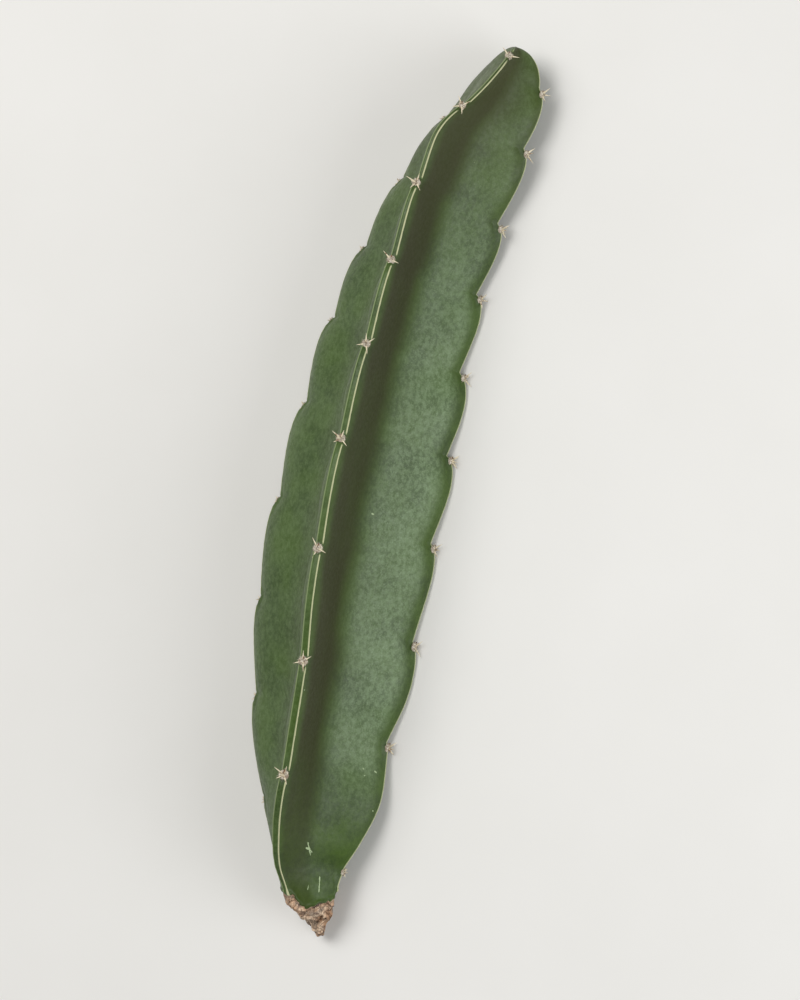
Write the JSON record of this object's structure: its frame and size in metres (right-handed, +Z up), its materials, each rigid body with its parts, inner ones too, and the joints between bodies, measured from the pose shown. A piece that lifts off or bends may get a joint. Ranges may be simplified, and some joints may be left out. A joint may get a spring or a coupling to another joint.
{
  "type": "dragon fruit cutting",
  "caption": "Three-ribbed green cactus stem cutting lying down, with scalloped rib edges, woolly spine clusters in the notches and a dry callused cut end.",
  "frame": {"origin": "centre of the bottom of the bounding box, on the surface the cutting lies on", "axes": "+Y from the cut end to the growing tip, +X towards the right lower rib, +Z up"},
  "size_m": [0.0622, 0.2826, 0.0496],
  "materials": {
    "stem_skin": "waxy green plant skin, olive-bronze in the valleys, thin pale corky line along each rib edge, dry tan callus on the cut end; satin sheen",
    "spine_wool": "grey-cream woolly pad with short pale spines, brown at the tips; matte"
  },
  "bodies": {
    "root": {"stem": "stem_skin", "spine_cluster_right_01": "spine_wool", "spine_cluster_right_02": "spine_wool", "spine_cluster_right_03": "spine_wool", "spine_cluster_right_04": "spine_wool", "spine_cluster_right_05": "spine_wool", "spine_cluster_right_06": "spine_wool", "spine_cluster_right_07": "spine_wool", "spine_cluster_right_08": "spine_wool", "spine_cluster_right_09": "spine_wool", "spine_cluster_right_10": "spine_wool", "spine_cluster_top_01": "spine_wool", "spine_cluster_top_02": "spine_wool", "spine_cluster_top_03": "spine_wool", "spine_cluster_top_04": "spine_wool", "spine_cluster_top_05": "spine_wool", "spine_cluster_top_06": "spine_wool", "spine_cluster_top_07": "spine_wool", "spine_cluster_top_08": "spine_wool", "spine_cluster_top_09": "spine_wool", "spine_cluster_left_01": "spine_wool", "spine_cluster_left_02": "spine_wool", "spine_cluster_left_03": "spine_wool", "spine_cluster_left_04": "spine_wool", "spine_cluster_left_05": "spine_wool", "spine_cluster_left_06": "spine_wool", "spine_cluster_left_07": "spine_wool", "spine_cluster_left_08": "spine_wool", "spine_cluster_left_09": "spine_wool"}
  },
  "joints": []
}
